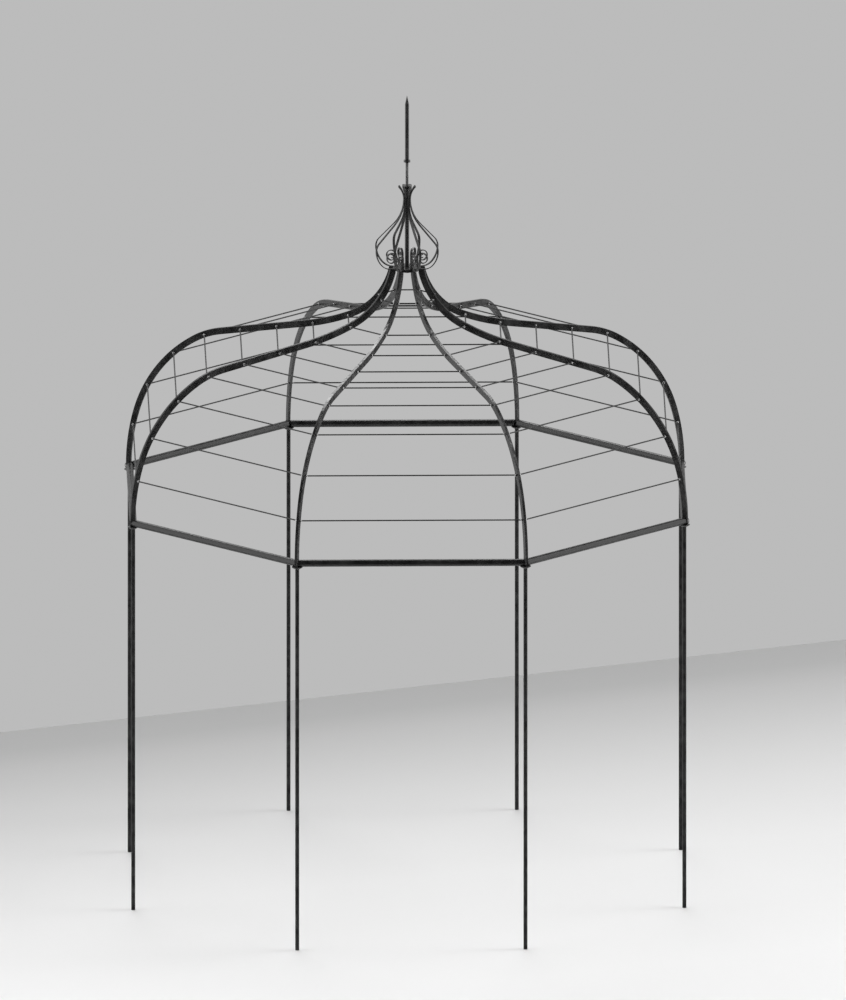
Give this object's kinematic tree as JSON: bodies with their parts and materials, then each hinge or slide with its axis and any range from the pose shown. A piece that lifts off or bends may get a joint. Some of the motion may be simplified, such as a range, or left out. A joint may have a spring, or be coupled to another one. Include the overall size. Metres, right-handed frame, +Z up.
{
  "type": "garden pavilion",
  "caption": "Eight-sided open iron garden pavilion: round bar posts, a round eave ring, an ogee dome of ribs and wire hoops, and an onion cage with a spear finial.",
  "frame": {"origin": "centre of the octagon on the ground plane under the posts", "axes": "+Z up along the mast; -Y out through the middle of the front side; +X to the right seen from the front"},
  "size_m": [2.8266, 2.8266, 4.0767],
  "materials": {
    "forged_iron": "near-black satin paint over hammered iron",
    "drawn_wire": "dark grey satin drawn wire",
    "pale_steel": "pale bare steel caps"
  },
  "bodies": {
    "root": {"post_1": "forged_iron", "post_2": "forged_iron", "post_3": "forged_iron", "post_4": "forged_iron", "post_5": "forged_iron", "post_6": "forged_iron", "post_7": "forged_iron", "post_8": "forged_iron", "eave_rail_1": "forged_iron", "eave_rail_2": "forged_iron", "eave_rail_3": "forged_iron", "eave_rail_4": "forged_iron", "eave_rail_5": "forged_iron", "eave_rail_6": "forged_iron", "eave_rail_7": "forged_iron", "eave_rail_8": "forged_iron", "rib_1": "forged_iron", "rib_2": "forged_iron", "rib_3": "forged_iron", "rib_4": "forged_iron", "rib_5": "forged_iron", "rib_6": "forged_iron", "rib_7": "forged_iron", "rib_8": "forged_iron", "wire_hoop_1": "drawn_wire", "wire_hoop_2": "drawn_wire", "wire_hoop_3": "drawn_wire", "wire_hoop_4": "drawn_wire", "wire_hoop_5": "drawn_wire", "wire_hoop_6": "drawn_wire", "wire_hoop_7": "drawn_wire", "wire_hoop_8": "drawn_wire", "wire_hoop_9": "drawn_wire", "post_head_plates": "pale_steel", "crown_hub": "forged_iron", "cage_bars": "forged_iron", "scrolls": "forged_iron", "mast": "forged_iron", "finial_ring": "forged_iron", "finial_neck": "forged_iron", "finial_collar": "forged_iron", "finial_spear": "forged_iron"}
  },
  "joints": []
}
